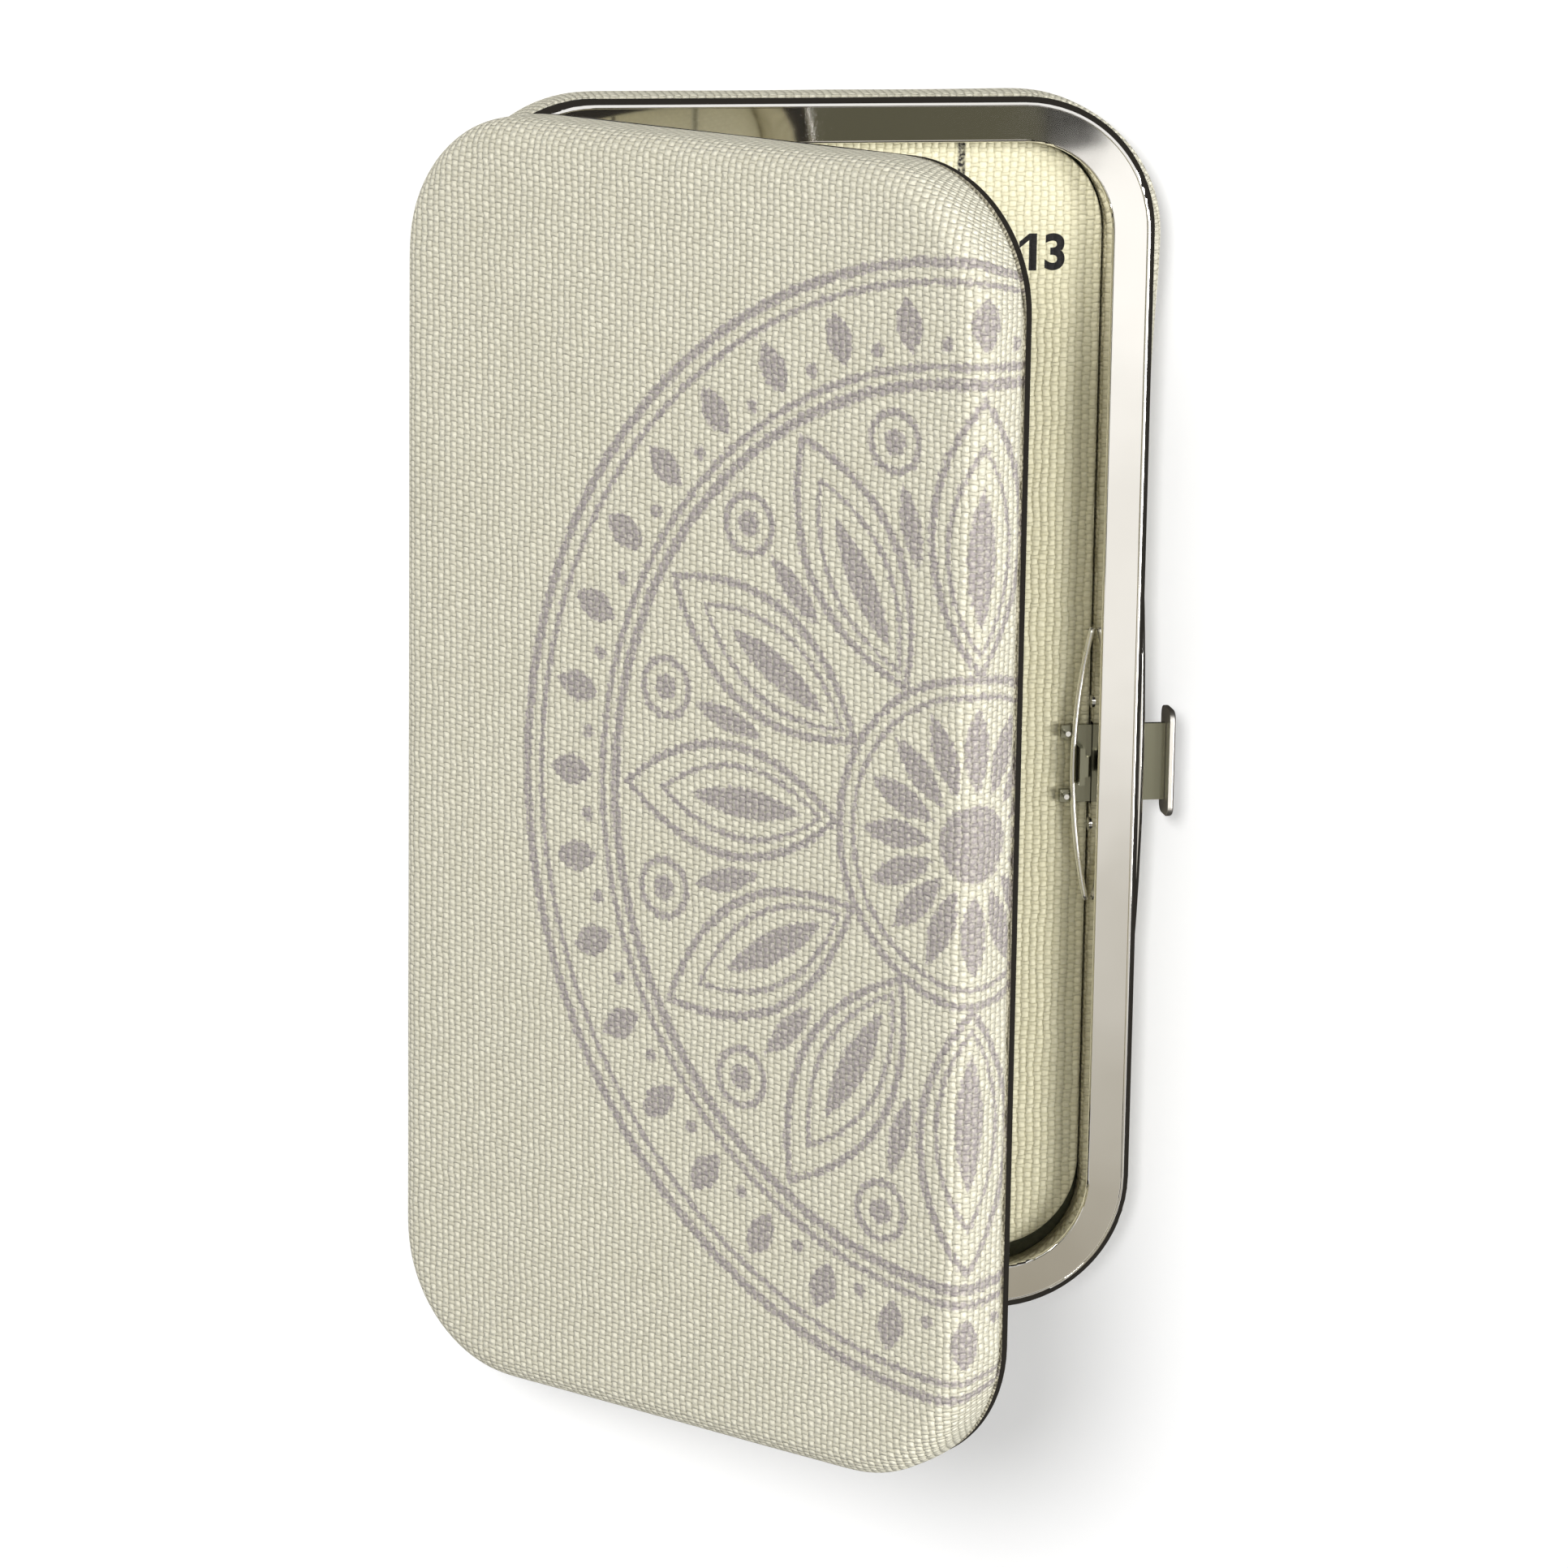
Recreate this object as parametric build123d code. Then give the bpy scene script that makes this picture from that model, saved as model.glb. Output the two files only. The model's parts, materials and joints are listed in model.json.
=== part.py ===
from build123d import *
import os

os.makedirs("parts", exist_ok=True)

# Millimetres. The case lies on its back: +Z up, +Y along its length, hinge at -X, latch at +X.
# Each half is shaped in its closed place. The lid's pieces are then mirrored up and turned open.

# Whole case
ridge_length = 139.2
ridge_width = 77.2
ridge_corner_radius = 14.4
half_thickness = 9.5
rim_gap = 0.3
lid_open_angle = 49.0

# Steel rim of each half
bead_radius = 0.9
bead_floor = 0.1
ridge_rise = 0.15
sheet_thickness = 0.5
land_width = 4.15
skirt_depth = 1.55
ridge_blend = 0.1
land_edge_radius = 0.3
fit = 0.05

# Cover of linen and thin padding, and the hard shell inside it
cover_thickness = 1.0
cover_side_thickness = 1.8
cover_bulge = 0.3
back_edge_radius = 3.0
front_edge_radius = 1.2
shell_thickness = 1.0
shell_edge_radius = 2.0

# Tray: lining, magnetic sheet, card and cloth pad
lining_thickness = 0.3
magnet_thickness = 0.8
board_thickness = 0.8
pad_thickness = 0.75
pad_side_thickness = 0.5
pad_edge_radius = 0.6
pad_gap = 0.3
pad_gap_at_foot = 1.3

# Hinge
hinge_offset = 0.8
knuckle_radius = 1.2
pin_radius = 0.6
pin_fit = 0.02
pin_running_clearance = 0.06
hinge_length = 108.0
knuckle_count = 9
knuckle_gap = 0.3
moving_clearance = 0.3
pin_end_length = 0.2
leaf_thickness = 0.5
leaf_rivet_count = 5
rivet_radius = 0.5
rivet_head_radius = 0.75
rivet_head_thickness = 0.15
rivet_fit = 0.03

# Latch
latch_place = -6.5
latch_travel = 1.5
pressed_button_gap = 1.6
bar_width = 9.0
bar_thickness = 0.6
bar_above_pad = 0.4
button_width = 12.6
button_height = 4.4
button_thickness = 0.7
button_edge_radius = 0.3
button_corner_radius = 1.2
lip_length = 40.0
lip_bow = 0.5
lip_edge_radius = 0.4
bracket_width = 18.0
bracket_thickness = 0.4
bracket_height = 4.9
bracket_rivet_place = 7.2

# Hook on the bar and strike on the lid
strike_thickness = 0.5
strike_width = 7.0
strike_window_width = 3.2
strike_window_height = 1.3
strike_foot_height = 0.6
strike_rivet_place = 2.4
hook_thickness = 0.6
hook_width = 4.4
beak_width = 2.4
beak_catch = 0.4
beak_bevel = 0.35

# Bowed wire spring and the pegs that hold its middle
wire_radius = 0.35
spring_length = 32.0
spring_play = 0.12
peg_radius = 0.3
peg_height = 1.0
peg_spacing = 7.4
prong_side = 0.35

# Outline of the rims, and the heights of the layers
rim_length = ridge_length + 2 * bead_radius
rim_width = ridge_width + 2 * bead_radius
rim_corner_radius = ridge_corner_radius + bead_radius
rim_edge = rim_width / 2
wall_inset = bead_radius + land_width
ridge_top = half_thickness - rim_gap / 2
land_top = ridge_top - ridge_rise
land_underside = land_top - sheet_thickness
skirt_bottom = ridge_top - skirt_depth
bead_bottom = ridge_top - bead_radius - bead_floor
shell_bottom = cover_thickness + fit
shell_inset = cover_side_thickness - cover_bulge + fit
shell_floor = shell_bottom + shell_thickness
shell_top = land_underside - 2 * fit
lining_bottom = shell_floor + fit
lining_top = lining_bottom + lining_thickness
magnet_bottom = lining_top + fit
magnet_top = magnet_bottom + magnet_thickness
board_bottom = magnet_top + fit
board_top = board_bottom + board_thickness
pad_top = board_top + fit + pad_thickness
pad_inset = wall_inset + pad_gap

# Places of the hinge and latch
hinge_x = -(ridge_width / 2 + hinge_offset)
hinge_axis = Axis((hinge_x, 0, half_thickness), (0, -1, 0))
wall_face = rim_edge - wall_inset
bar_bottom = pad_top + bar_above_pad
bar_top = bar_bottom + bar_thickness
strike_outer = wall_face - moving_clearance - fit
strike_inner = strike_outer - strike_thickness
strike_bottom = bar_top + moving_clearance + fit
window_bottom = strike_bottom + strike_foot_height
window_top = window_bottom + strike_window_height
beak_bottom = window_bottom + moving_clearance
beak_top = window_top - moving_clearance
hook_outer = strike_inner - moving_clearance - fit
hook_inner = hook_outer - hook_thickness
spring_middle = hook_inner - spring_play - wire_radius
peg_place = spring_middle - wire_radius - spring_play - peg_radius
spring_height = bar_top + spring_play + wire_radius
bar_end = peg_place - 2 * peg_radius
button_face = rim_edge + lip_bow + latch_travel + pressed_button_gap


def plate(inset, bottom, top, foot_gap=0.0):
    """A rounded plate this far inside the rim's outer edge; foot_gap draws its -Y end in further."""
    length = rim_length - 2 * inset - foot_gap
    corner = rim_corner_radius - inset
    outline = RectangleRounded(rim_width - 2 * inset, length, corner)
    return Pos(0, foot_gap / 2, bottom) * extrude(outline, top - bottom)


def ring(outer_inset, inner_inset, bottom, top):
    return plate(outer_inset, bottom, top) - plate(inner_inset, bottom, top)


def block(x_low, x_high, y_low, y_high, z_low, z_high):
    size = (x_high - x_low, y_high - y_low, z_high - z_low)
    middle = ((x_low + x_high) / 2, (y_low + y_high) / 2, (z_low + z_high) / 2)
    return Pos(*middle) * Box(*size)


def across_latch(x_low, x_high, width, z_low, z_high):
    """A block centred on the latch along Y."""
    return block(x_low, x_high, latch_place - width / 2, latch_place + width / 2, z_low, z_high)


def rod_along_y(radius, y_low, y_high):
    """A rod on the hinge axis."""
    length = y_high - y_low
    middle = Pos(hinge_x, (y_low + y_high) / 2, half_thickness)
    return middle * Rot(90, 0, 0) * Cylinder(radius, length)


def rod_along_x(radius, x_low, x_high, y, z):
    return Pos((x_low + x_high) / 2, y, z) * Rot(0, 90, 0) * Cylinder(radius, x_high - x_low)


def rod_along_z(radius, x, y, z_low, z_high):
    return Pos(x, y, (z_low + z_high) / 2) * Cylinder(radius, z_high - z_low)


def top_face(part):
    return part.faces().sort_by(Axis.Z)[-1]


def leaf_space(margin):
    """Room for a hinge leaf, from the barrel in to the rim's inner wall."""
    leaf_top = land_underside - fit
    inner_edge = -(rim_edge - wall_inset + sheet_thickness) - fit
    half = hinge_length / 2 + margin
    low = leaf_top - leaf_thickness - margin
    return block(hinge_x, inner_edge, -half, half, low, leaf_top + margin)


def without_hinge_space(part):
    """Cuts the recess that the barrel sits in, and the slot that the leaf passes through."""
    half = hinge_length / 2 + moving_clearance
    recess = rod_along_y(knuckle_radius + moving_clearance, -half, half)
    return part - recess - leaf_space(fit / 2)


def bar_slot(x_low, x_high):
    """Room for the latch bar to slide in."""
    width = bar_width + 2 * moving_clearance
    low = bar_bottom - moving_clearance
    return across_latch(x_low, x_high, width, low, bar_top + moving_clearance)


# Rivets stand at these places along the hinge leaf and across the bracket and strike
leaf_rivet_pitch = hinge_length / leaf_rivet_count
leaf_rivet_places = [
    leaf_rivet_pitch * (index - (leaf_rivet_count - 1) / 2) for index in range(leaf_rivet_count)
]
leaf_rivet_x = -(rim_edge - (shell_inset + shell_thickness + wall_inset - sheet_thickness) / 2)
bracket_rivet_places = [latch_place - bracket_rivet_place, latch_place + bracket_rivet_place]
strike_rivet_places = [latch_place - strike_rivet_place, latch_place + strike_rivet_place]
bar_middle = (bar_bottom + bar_top) / 2
strike_plate_bottom = 2 * half_thickness - land_top + moving_clearance
strike_plate_top = 2 * half_thickness - pad_top - moving_clearance
strike_rivet_height = strike_plate_top - rivet_head_radius - moving_clearance


def leaf_rivet_holes():
    low = land_underside - leaf_thickness - 2 * fit
    holes = [
        rod_along_z(rivet_radius + rivet_fit, leaf_rivet_x, y, low, land_top + fit)
        for y in leaf_rivet_places
    ]
    return Compound(holes)


def cover():
    """Linen over thin padding: flat back, round edges, sides that bulge past the rim and tuck under it."""
    form = plate(-cover_bulge, 0, skirt_bottom)
    form = fillet(form.faces().sort_by(Axis.Z)[0].edges(), back_edge_radius)
    form = fillet(top_face(form).edges(), front_edge_radius)
    tuck = plate(sheet_thickness + fit, skirt_bottom - cover_thickness, bead_bottom - fit)
    hollow = plate(shell_inset - fit, cover_thickness, shell_top)
    hollow = fillet(hollow.faces().sort_by(Axis.Z)[0].edges(), shell_edge_radius)
    return without_hinge_space(form + tuck - hollow)


def shell():
    """Hard tray between the cover and the rim."""
    form = plate(shell_inset, shell_bottom, shell_top)
    form = fillet(form.faces().sort_by(Axis.Z)[0].edges(), shell_edge_radius)
    hollow = plate(shell_inset + shell_thickness, shell_floor, shell_top)
    return without_hinge_space(form - hollow)


def rim():
    """Plated steel: rounded outer bead with its ridge, flat land, and a wall down to the tray's floor."""
    bead = ring(0, bead_radius + ridge_rise, bead_bottom, ridge_top)
    bead = fillet(top_face(bead).outer_wire().edges(), bead_radius)
    bead = fillet(top_face(bead).inner_wires()[0].edges(), ridge_blend)
    skirt = ring(0, sheet_thickness, skirt_bottom, bead_bottom + bead_floor)
    wall = ring(wall_inset - sheet_thickness, wall_inset, magnet_bottom, land_top)
    land = ring(sheet_thickness, wall_inset, land_underside, land_top)
    land = fillet(top_face(land + wall).inner_wires()[0].edges(), land_edge_radius)
    return without_hinge_space(bead + skirt + land) - leaf_rivet_holes()


def latch_lip():
    """The rim's edge bows outwards above the latch bar."""
    radius = (lip_length**2 / 4 + lip_bow**2) / (2 * lip_bow)
    low = skirt_bottom
    high = ridge_top - bead_radius / 2
    disc = rod_along_z(radius, rim_edge + lip_bow - radius, latch_place, low, high)
    bow = disc & across_latch(rim_edge - sheet_thickness / 2, rim_edge + 2 * lip_bow, lip_length, low, high)
    return fillet(bow.edges().group_by(Axis.Z)[-1].sort_by(Axis.X)[-1], lip_edge_radius)


def lining():
    return plate(shell_inset + shell_thickness + fit, lining_bottom, lining_top)


def magnet():
    return plate(pad_inset + pad_side_thickness + fit, magnet_bottom, magnet_top, pad_gap_at_foot - pad_gap)


def pad_board():
    return plate(pad_inset + pad_side_thickness + fit, board_bottom, board_top, pad_gap_at_foot - pad_gap)


def pad():
    """Printed cloth drawn over the card and the magnetic sheet."""
    shorter = pad_gap_at_foot - pad_gap
    form = plate(pad_inset, magnet_bottom, pad_top, shorter)
    form = fillet(top_face(form).edges(), pad_edge_radius)
    return form - plate(pad_inset + pad_side_thickness, magnet_bottom, board_top + fit, shorter)


def hinge_leaf(own_knuckles, bore_clearance):
    """A leaf under the land with every other knuckle of the barrel, rolled from one strip."""
    pitch = hinge_length / knuckle_count
    strip = leaf_space(0)
    barrel_side = hinge_x + knuckle_radius + moving_clearance
    leaf = strip & block(barrel_side, 0, -hinge_length, hinge_length, 0, half_thickness)
    for index in own_knuckles:
        low = -hinge_length / 2 + index * pitch + knuckle_gap / 2
        high = low + pitch - knuckle_gap
        leaf += strip & block(hinge_x, barrel_side, low, high, 0, half_thickness)
        leaf += rod_along_y(knuckle_radius, low, high)
    bore = rod_along_y(pin_radius + bore_clearance, -hinge_length, hinge_length)
    return leaf - bore - leaf_rivet_holes()


def hinge_pin():
    half = hinge_length / 2 + pin_end_length
    return rod_along_y(pin_radius, -half, half)


def leaf_rivets():
    """Flat rivets through the land and the leaf under it."""
    head_bottom = land_top + rivet_fit
    head_top = head_bottom + rivet_head_thickness
    tail_top = land_underside - fit - leaf_thickness - rivet_fit
    tail_bottom = tail_top - rivet_head_thickness
    rivets = []
    for y in leaf_rivet_places:
        rivet = rod_along_z(rivet_radius, leaf_rivet_x, y, tail_bottom, head_top)
        rivet += rod_along_z(rivet_head_radius, leaf_rivet_x, y, head_bottom, head_top)
        rivet += rod_along_z(rivet_head_radius, leaf_rivet_x, y, tail_bottom, tail_top)
        rivets.append(rivet)
    return rivets


def wall_rivets(places, height, inner_end, outer_end):
    """Rivets through the rim's wall and the plate against it, with a head at each end."""
    rivets = []
    for y in places:
        rivet = rod_along_x(rivet_radius, inner_end, outer_end, y, height)
        rivet += rod_along_x(rivet_head_radius, inner_end, inner_end + rivet_head_thickness, y, height)
        rivet += rod_along_x(rivet_head_radius, outer_end - rivet_head_thickness, outer_end, y, height)
        rivets.append(rivet)
    return rivets


def wall_rivet_holes(places, height, x_low, x_high):
    return Compound([rod_along_x(rivet_radius + rivet_fit, x_low, x_high, y, height) for y in places])


bracket_inner = wall_face + sheet_thickness + fit
bracket_outer = bracket_inner + bracket_thickness


def latch_bracket():
    """A plate behind the rim's wall, with two lips that the bar slides between."""
    bottom = bar_middle - bracket_height / 2
    plate_part = across_latch(bracket_inner, bracket_outer, bracket_width, bottom, bottom + bracket_height)
    lip_end = rim_edge - shell_inset - shell_thickness - moving_clearance
    lips = across_latch(
        bracket_inner,
        lip_end,
        bar_width,
        bar_bottom - moving_clearance - bracket_thickness,
        bar_top + moving_clearance + bracket_thickness,
    )
    body = plate_part + lips - bar_slot(bracket_inner - fit, lip_end + fit)
    holes = wall_rivet_holes(bracket_rivet_places, bar_middle, bracket_inner - fit, bracket_outer + fit)
    return body - holes


def latch_bar():
    """Flat bar out through the rim, with two prongs under the spring and an upright hook."""
    bar = across_latch(bar_end, button_face, bar_width, bar_bottom, bar_top)
    between_prongs = peg_spacing - 2 * (peg_radius + prong_side)
    bar -= across_latch(bar_end, spring_middle, between_prongs, bar_bottom, bar_top)
    upright = across_latch(hook_inner, hook_outer, hook_width, bar_bottom, beak_top)
    beak = across_latch(hook_inner, strike_inner + beak_catch, beak_width, beak_bottom, beak_top)
    beak = chamfer(beak.edges().filter_by(Axis.Y).group_by(Axis.X)[-1].sort_by(Axis.Z)[-1], beak_bevel)
    return bar + upright + beak


def spring_pegs():
    pegs = []
    for side in (-1, 1):
        y = latch_place + side * peg_spacing / 2
        pegs.append(rod_along_z(peg_radius, peg_place, y, bar_top + fit, bar_top + peg_height))
    return pegs


def latch_button():
    """End plate with round corners, pressed by the thumb."""
    outline = RectangleRounded(button_height, button_width, button_corner_radius)
    face = Pos(button_face + fit, latch_place, bar_middle) * Rot(0, 90, 0) * outline
    body = extrude(face, button_thickness, dir=(1, 0, 0))
    return fillet(body.faces().sort_by(Axis.X)[-1].edges(), button_edge_radius)


def latch_spring():
    """Wire bowed into the tray, with its ends against the rim's wall."""
    end = wall_face - wire_radius - fit
    path = ThreePointArc(
        (end, latch_place - spring_length / 2, spring_height),
        (spring_middle, latch_place, spring_height),
        (end, latch_place + spring_length / 2, spring_height),
    )
    section = Plane(origin=path @ 0, z_dir=path % 0) * Circle(wire_radius)
    return sweep(section, path=path)


def lid_strike():
    """Riveted inside the lid's rim; its windowed tongue reaches down into the base. Shaped closed."""
    plate_outer = wall_face - fit
    plate_inner = plate_outer - strike_thickness
    plate_part = across_latch(plate_inner, plate_outer, strike_width, strike_plate_bottom, strike_plate_top)
    step = strike_plate_bottom + strike_thickness
    tongue = across_latch(strike_inner, strike_outer, strike_width, strike_bottom, step)
    bend = across_latch(strike_inner, plate_outer, strike_width, strike_plate_bottom, step)
    window = across_latch(
        strike_inner - fit, strike_outer + fit, strike_window_width, window_bottom, window_top
    )
    holes = wall_rivet_holes(strike_rivet_places, strike_rivet_height, plate_inner - fit, plate_outer + fit)
    return plate_part + tongue + bend - window - holes


def lid_strike_rivets():
    inner = wall_face - fit - strike_thickness - rivet_fit - rivet_head_thickness
    outer = wall_face + sheet_thickness + rivet_fit + rivet_head_thickness
    return wall_rivets(strike_rivet_places, strike_rivet_height, inner, outer)


def bracket_rivets():
    inner = wall_face - rivet_fit - rivet_head_thickness
    outer = bracket_outer + rivet_fit + rivet_head_thickness
    return wall_rivets(bracket_rivet_places, bar_middle, inner, outer)


def mirrored_up(part):
    return mirror(part, about=Plane.XY.offset(half_thickness))


def opened(part):
    """Turns a piece of the closed lid to its open place."""
    return part.rotate(hinge_axis, lid_open_angle)


def save(name, part):
    pieces = part if isinstance(part, list) else [part]
    solids = [solid for piece in pieces for solid in piece.solids()]
    export_step(solids[0] if len(solids) == 1 else Compound(solids), f"parts/{name}.step")


base_knuckles = range(0, knuckle_count, 2)
lid_knuckles = range(1, knuckle_count, 2)
through_side = bar_slot(rim_edge - shell_inset - 2 * shell_thickness, rim_edge + 2 * cover_bulge)
bracket_holes = wall_rivet_holes(
    bracket_rivet_places, bar_middle, wall_face - fit, wall_face + sheet_thickness + fit
)
strike_holes = wall_rivet_holes(
    strike_rivet_places, strike_rivet_height, wall_face - fit, wall_face + sheet_thickness + fit
)

save("base_cover", cover() - through_side)
save("base_shell", shell() - through_side)
save("base_rim", rim() + latch_lip() - bar_slot(wall_face - fit, bracket_inner) - bracket_holes)
save("base_lining", lining())
save("base_magnet", magnet())
save("base_pad_board", pad_board())
save("base_pad", pad())
save("base_hinge_leaf", hinge_leaf(base_knuckles, pin_fit))
save("base_hinge_rivets", leaf_rivets())
save("hinge_pin", hinge_pin())
save("latch_bracket", latch_bracket())
save("latch_rivets", bracket_rivets())
save("latch_spring", latch_spring())
save("latch_bar", latch_bar())
save("spring_pegs", spring_pegs())
save("latch_button", latch_button())

save("lid_cover", opened(mirrored_up(cover())))
save("lid_shell", opened(mirrored_up(shell())))
save("lid_rim", opened(mirrored_up(rim()) - strike_holes))
save("lid_lining", opened(mirrored_up(lining())))
save("lid_magnet", opened(mirrored_up(magnet())))
save("lid_pad_board", opened(mirrored_up(pad_board())))
save("lid_pad", opened(mirrored_up(pad())))
save("lid_hinge_leaf", opened(mirrored_up(hinge_leaf(lid_knuckles, pin_running_clearance))))
save("lid_hinge_rivets", [opened(mirrored_up(rivet)) for rivet in leaf_rivets()])
save("lid_strike", opened(lid_strike()))
save("lid_strike_rivets", [opened(rivet) for rivet in lid_strike_rivets()])

print("hinge axis", hinge_x, half_thickness, "lid open", lid_open_angle)
print("pad top", pad_top, "ridge top", ridge_top, "wall face", wall_face, "bar end", bar_end)
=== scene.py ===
# %% [markdown]
# # A magnetic needle case, dressed in Blender
# The case is two shallow trays on a long hinge. Each has a linen cover over thin padding, a bright nickel
# rim and a magnetic pad under cloth. The steel pieces arrive ready made at their real size, so this
# script gives them their finish, sews the soft pieces around them and sets up the studio.

# %% Load the case's steel and board pieces
import json
import math

import bmesh
import bpy
from mathutils import Matrix, Vector, noise


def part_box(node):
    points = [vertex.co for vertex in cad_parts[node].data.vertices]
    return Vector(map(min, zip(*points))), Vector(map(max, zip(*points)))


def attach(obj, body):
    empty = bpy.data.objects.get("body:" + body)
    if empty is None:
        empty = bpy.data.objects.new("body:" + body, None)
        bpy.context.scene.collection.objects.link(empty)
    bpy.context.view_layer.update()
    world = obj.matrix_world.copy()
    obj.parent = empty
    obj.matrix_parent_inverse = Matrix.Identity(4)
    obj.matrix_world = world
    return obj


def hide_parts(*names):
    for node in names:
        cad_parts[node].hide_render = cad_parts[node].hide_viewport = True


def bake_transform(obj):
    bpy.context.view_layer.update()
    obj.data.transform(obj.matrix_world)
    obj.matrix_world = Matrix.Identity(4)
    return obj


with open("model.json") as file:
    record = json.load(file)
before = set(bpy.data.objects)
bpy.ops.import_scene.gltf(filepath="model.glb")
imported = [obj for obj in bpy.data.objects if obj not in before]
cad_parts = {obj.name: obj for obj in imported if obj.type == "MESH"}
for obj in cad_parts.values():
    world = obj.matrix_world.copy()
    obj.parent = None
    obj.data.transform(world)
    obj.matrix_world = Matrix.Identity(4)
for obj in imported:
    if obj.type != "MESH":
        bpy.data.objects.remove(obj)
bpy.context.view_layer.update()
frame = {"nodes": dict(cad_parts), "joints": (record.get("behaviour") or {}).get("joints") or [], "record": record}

# %% [markdown]
# ## Sizes
# Everything soft has to fit what it is glued to, so its sizes are read from the neighbouring hard pieces:
# the rim gives the outline, the hinge pin gives the axis, and the lid joint's lower limit is the angle
# that the lid stands open. Only what the hard pieces can't tell, such as a corner radius, is written down
# here.

# %% Read the sizes that the cloth has to fit
MM = 0.001
rim_low, rim_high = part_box("base_rim")
pin_low, pin_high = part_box("hinge_pin")
pad_low, pad_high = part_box("base_pad")
rim_half_width = -rim_low.x
rim_half_length = rim_high.y
rim_corner = 15.3 * MM
core_half_width = rim_half_width - rim_corner
core_half_length = rim_half_length - rim_corner
hinge = (pin_low + pin_high) / 2
lid_joint = next(joint for joint in frame["joints"] if joint["name"] == "lid_hinge")
lid_open = -math.radians(lid_joint["range_deg"][0])
mirror_up = Matrix.Translation((0, 0, 2 * hinge.z)) @ Matrix.Diagonal((1, 1, -1, 1))
swing = Matrix.Rotation(lid_open, 4, Vector((0, -1, 0)))
open_lid = Matrix.Translation(hinge) @ swing @ Matrix.Translation(-hinge) @ mirror_up
print("rim half width and length, mm", rim_half_width / MM, rim_half_length / MM)
print("lid open, degrees", math.degrees(lid_open))

# %% [markdown]
# ## Camera
# The picture was taken with a long lens from above the top end, a little to the hinge's side. The place
# and direction come from lining up the outlines of both halves with the photograph, and a long lens keeps
# the case's sides nearly parallel, as they are there.

# %% Place the camera
camera_place = Vector((-129.8, 154.0, 695.3)) * MM
camera_forward = Vector((0.1784, -0.22511, -0.95786))
camera_up = Vector((0.026, 0.97422, -0.22411))
lens_length = 145.19
sensor_width = 36.0
nearest_seen = 0.01
farthest_seen = 20.0


def add_object(name, data):
    thing = bpy.data.objects.new(name, data)
    bpy.context.scene.collection.objects.link(thing)
    return thing


def make_camera():
    data = bpy.data.cameras.new("camera")
    data.lens = lens_length
    data.sensor_width = sensor_width
    data.clip_start = nearest_seen
    data.clip_end = farthest_seen
    camera = add_object("camera", data)
    right = camera_forward.cross(camera_up).normalized()
    up = right.cross(camera_forward).normalized()
    turn = Matrix((right, up, -camera_forward.normalized())).transposed()
    camera.matrix_world = Matrix.Translation(camera_place) @ turn.to_4x4()
    return camera


bpy.context.scene.camera = make_camera()
bpy.context.scene.view_settings.view_transform = "Standard"
print("camera at", tuple(round(value, 4) for value in camera_place))

# %% [markdown]
# ## Shader sums in plain Python
# A pattern such as a weave is a sum over coordinates. Wrapping a shader socket in a small class that
# knows how to add and multiply lets the sums below read like ordinary Python, and each operation adds one
# Math node.


# %% A socket that can be added and multiplied
class Value:
    """A shader socket that takes part in a sum as a number does."""

    def __init__(self, tree, socket):
        self.tree = tree
        self.socket = socket

    def math(self, operation, *values):
        return add_math(self.tree, operation, self, *values)

    def __add__(self, other):
        return self.math("ADD", other)

    def __radd__(self, other):
        return self.math("ADD", other)

    def __sub__(self, other):
        return self.math("SUBTRACT", other)

    def __rsub__(self, other):
        return add_math(self.tree, "SUBTRACT", other, self)

    def __mul__(self, other):
        return self.math("MULTIPLY", other)

    def __rmul__(self, other):
        return self.math("MULTIPLY", other)

    def __truediv__(self, other):
        return self.math("DIVIDE", other)

    def __abs__(self):
        return self.math("ABSOLUTE")

    def floor(self):
        return self.math("FLOOR")

    def sine(self):
        return self.math("SINE")

    def cosine(self):
        return self.math("COSINE")

    def root(self):
        return self.math("SQRT")

    def power(self, other):
        return self.math("POWER", other)

    def highest(self, other):
        return self.math("MAXIMUM", other)

    def lowest(self, other):
        return self.math("MINIMUM", other)

    def modulo(self, other):
        return self.math("FLOORED_MODULO", other)

    def clamped(self):
        return self.highest(0.0).lowest(1.0)


def feed(tree, socket, value):
    if isinstance(value, Value):
        tree.links.new(value.socket, socket)
    else:
        socket.default_value = value


def add_math(tree, operation, *values):
    node = tree.nodes.new("ShaderNodeMath")
    node.operation = operation
    for socket, value in zip(node.inputs, values):
        feed(tree, socket, value)
    return Value(tree, node.outputs[0])


print("sums ready")

# %% [markdown]
# ## Finishes
# Every material here is the same main shader with other sockets fed, so one class holds the node tree and
# the few nodes that are used often. A Mix node keeps its colours behind its numbers and vectors, so they
# are its inputs 6 and 7 and its output 2.


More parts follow.
